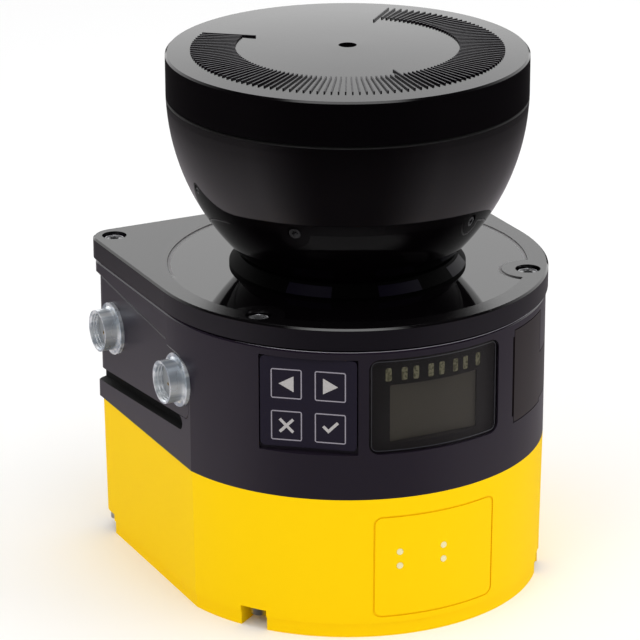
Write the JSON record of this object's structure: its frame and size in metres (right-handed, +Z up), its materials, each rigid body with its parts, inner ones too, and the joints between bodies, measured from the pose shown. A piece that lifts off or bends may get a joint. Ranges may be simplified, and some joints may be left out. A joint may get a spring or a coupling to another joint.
{
  "type": "safety laser scanner",
  "caption": "Compact safety laser scanner: D-shaped yellow and black housing with keypad and display, under a bowl-shaped scan hood with a marked round cap.",
  "frame": {"origin": "on the vertical scan axis, in the plane the base stands on", "axes": "+Z up along the scan axis, -Y to the middle of the round front with the display, +X to the side opposite the two connectors, +Y to the flat back"},
  "size_m": [0.1153, 0.1111, 0.1523],
  "materials": {
    "yellow_paint": "satin signal-yellow coat on a die-cast shell",
    "black_paint": "satin black with a slight violet cast",
    "lid_black": "smooth satin black",
    "light_guide": "clear to milky light guide",
    "screw_steel": "plated steel",
    "dark_screw": "dark plated steel",
    "seal_rubber": "matt",
    "circuit_board": "green solder mask",
    "black_moulding": "matt moulding",
    "nickel": "nickel plate",
    "contact_gold": "gold plate",
    "panel_black": "satin foil",
    "key_black": "satin",
    "window_smoke": "smoke-tinted clear plastic",
    "lcd_grey": "unlit display face",
    "cover_black": "satin",
    "collar_black": "gloss",
    "collar_lens": "violet-black filter",
    "hood_gloss": "polished infrared-pass black",
    "cap_grey": "fine satin",
    "frame_dark": "matt",
    "motor_steel": "bright steel",
    "mirror_coat": "front-surface coat",
    "lens_red": "infrared-pass lens",
    "laser_brass": "turned brass barrel"
  },
  "bodies": {
    "housing": {"base_housing": "yellow_paint", "base_light_guides": "light_guide", "base_screws": "screw_steel", "base_gasket": "seal_rubber", "interface_board": "circuit_board", "board_link": "black_moulding", "upper_housing": "black_paint", "system_plug": "black_paint", "plug_seal": "seal_rubber", "connector_shell_front": "nickel", "connector_shell_rear": "nickel", "connector_insert_front": "black_moulding", "connector_insert_rear": "black_moulding", "connector_contacts": "contact_gold", "keypad_panel": "panel_black", "keypad_board": "circuit_board", "display_window": "window_smoke", "display_mask": "panel_black", "lcd_panel": "lcd_grey", "status_light_guides": "light_guide", "display_board": "circuit_board", "usb_hinge_pin": "screw_steel", "usb_socket": "nickel", "usb_board": "circuit_board", "main_board": "circuit_board", "lid_gasket": "seal_rubber", "lid_plate": "lid_black", "lid_screws": "dark_screw", "light_collar": "collar_black", "collar_windows": "collar_lens", "optics_hood": "hood_gloss", "cap_seal": "seal_rubber", "head_cap": "cap_grey", "optics_frame": "frame_dark", "frame_screws": "screw_steel", "motor_stator": "motor_steel", "motor_bearings": "motor_steel", "encoder_sensor": "black_moulding", "receiver_lens": "lens_red", "receiver_holder": "frame_dark", "receiver_board": "circuit_board", "laser_module": "laser_brass"},
    "key_back_body": {"key_back": "key_black"},
    "key_next_body": {"key_next": "key_black"},
    "key_cancel_body": {"key_cancel": "key_black"},
    "key_confirm_body": {"key_confirm": "key_black"},
    "service_cover": {"usb_cover": "cover_black"},
    "mirror_rotor": {"motor_shaft": "motor_steel", "rotor_magnet": "motor_steel", "mirror_carrier": "frame_dark", "scan_mirror": "mirror_coat", "encoder_disc": "motor_steel"}
  },
  "joints": [
    {"name": "key_back_press", "type": "slide", "parent": "housing", "child": "key_back_body", "axis": [0.6157, 0.788, 0], "range_m": [0, 0.0005], "stiffness_N_per_m": 2000},
    {"name": "key_next_press", "type": "slide", "parent": "housing", "child": "key_next_body", "axis": [0.6157, 0.788, 0], "range_m": [0, 0.0005], "stiffness_N_per_m": 2000},
    {"name": "key_cancel_press", "type": "slide", "parent": "housing", "child": "key_cancel_body", "axis": [0.6157, 0.788, 0], "range_m": [0, 0.0005], "stiffness_N_per_m": 2000},
    {"name": "key_confirm_press", "type": "slide", "parent": "housing", "child": "key_confirm_body", "axis": [0.6157, 0.788, 0], "range_m": [0, 0.0005], "stiffness_N_per_m": 2000},
    {"name": "service_cover_hinge", "type": "hinge", "parent": "housing", "child": "service_cover", "pos_m": [0.04897, -0.02079, 0.0619], "axis": [0, 0, 1], "range_deg": [0, 100]},
    {"name": "mirror_spin", "type": "hinge", "parent": "housing", "child": "mirror_rotor", "pos_m": [0, 0, 0.1142], "axis": [0, 0, 1], "continuous": true}
  ]
}
